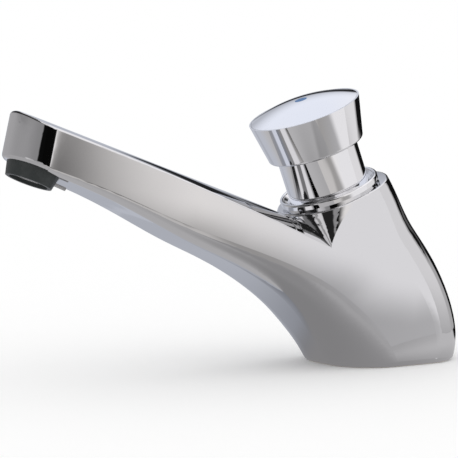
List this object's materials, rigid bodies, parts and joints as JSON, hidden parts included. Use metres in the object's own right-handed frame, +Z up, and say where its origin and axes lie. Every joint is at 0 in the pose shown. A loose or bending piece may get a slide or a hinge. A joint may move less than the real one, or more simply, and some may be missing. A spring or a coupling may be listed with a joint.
{
  "type": "basin tap",
  "caption": "Self-closing basin tap: chromed body with a long rising spout, a tapered push button on a leaning neck and a recessed outlet aerator.",
  "frame": {"origin": "centre of the threaded water inlet on the flat underside of the base", "axes": "+Z up, the spout points to -Y, the tap is symmetric about X = 0"},
  "size_m": [0.0522, 0.2127, 0.1165],
  "materials": {
    "chrome": "polished chrome plate on brass",
    "brass": "machined",
    "steel": "stainless",
    "rubber": "moulded",
    "black_plastic": "moulded, satin",
    "white_plastic": "moulded acetal",
    "blue_plastic": "glossy"
  },
  "bodies": {
    "tap": {"body_casting": "chrome", "neck_sleeve": "chrome", "collar_ring": "chrome", "stem_bush": "white_plastic", "chamber_cover": "white_plastic", "stem_seal": "rubber", "head_o_ring": "rubber", "cartridge_body": "brass", "cartridge_o_ring": "rubber", "valve_seat": "brass", "return_spring": "steel", "metering_pin": "steel", "inlet_strainer": "steel", "base_gasket": "rubber", "aerator_housing": "black_plastic", "aerator_insert": "black_plastic", "flow_regulator": "black_plastic", "aerator_washer": "rubber", "aerator_locking_pin": "steel"},
    "button": {"push_button": "chrome", "button_top_plate": "chrome", "blue_index_dot": "blue_plastic", "button_screw": "steel", "push_stem": "steel", "piston": "white_plastic", "piston_lip_seal": "rubber", "poppet": "brass", "poppet_seal": "rubber", "poppet_clip": "steel"}
  },
  "joints": [
    {"name": "button_press", "type": "slide", "parent": "tap", "child": "button", "axis": [0, 0.3665, -0.9304], "range_m": [0, 0.007], "stiffness_N_per_m": 2000, "deforming": ["return_spring"]}
  ]
}
